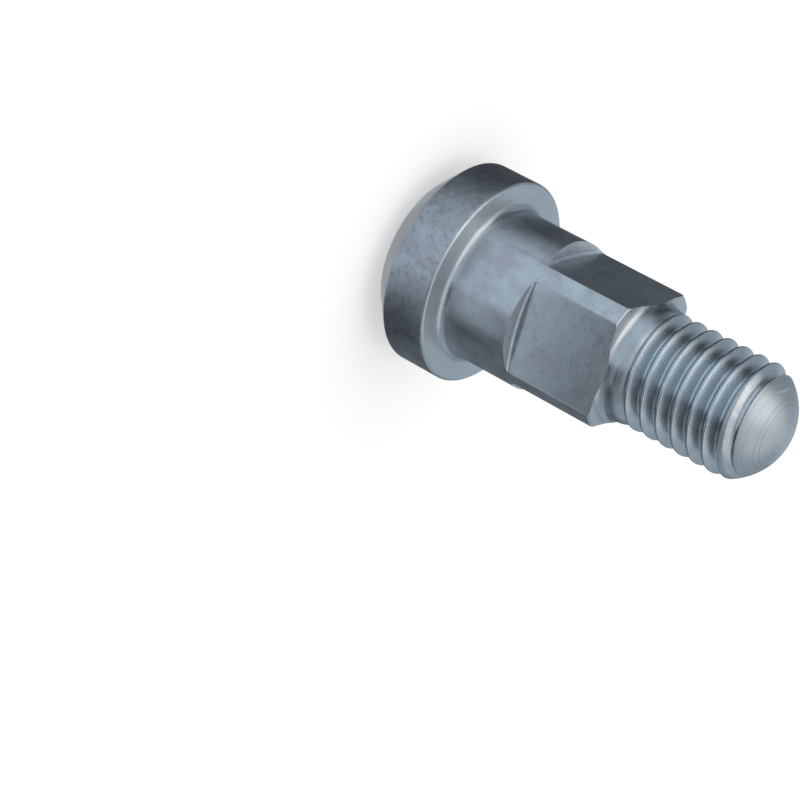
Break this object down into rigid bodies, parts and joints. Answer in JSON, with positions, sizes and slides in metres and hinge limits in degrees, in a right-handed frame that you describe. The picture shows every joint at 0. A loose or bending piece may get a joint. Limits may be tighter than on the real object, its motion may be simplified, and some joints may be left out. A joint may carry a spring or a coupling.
{
  "type": "pivot bolt",
  "caption": "Pivot bolt for pruning shears: chamfered round head, smooth shoulder, milled square that stops it turning, and a domed threaded end.",
  "frame": {"origin": "centre of the head's end face, on which the bolt stands", "axes": "+Z along the bolt's axis from the head to the domed threaded end; the flats of the square face +X, -X, +Y and -Y"},
  "size_m": [0.018, 0.018, 0.0359],
  "materials": {
    "steel": "turned and milled bare steel, satin, with small dark pits"
  },
  "bodies": {
    "root": {"pivot_bolt": "steel"}
  },
  "joints": []
}
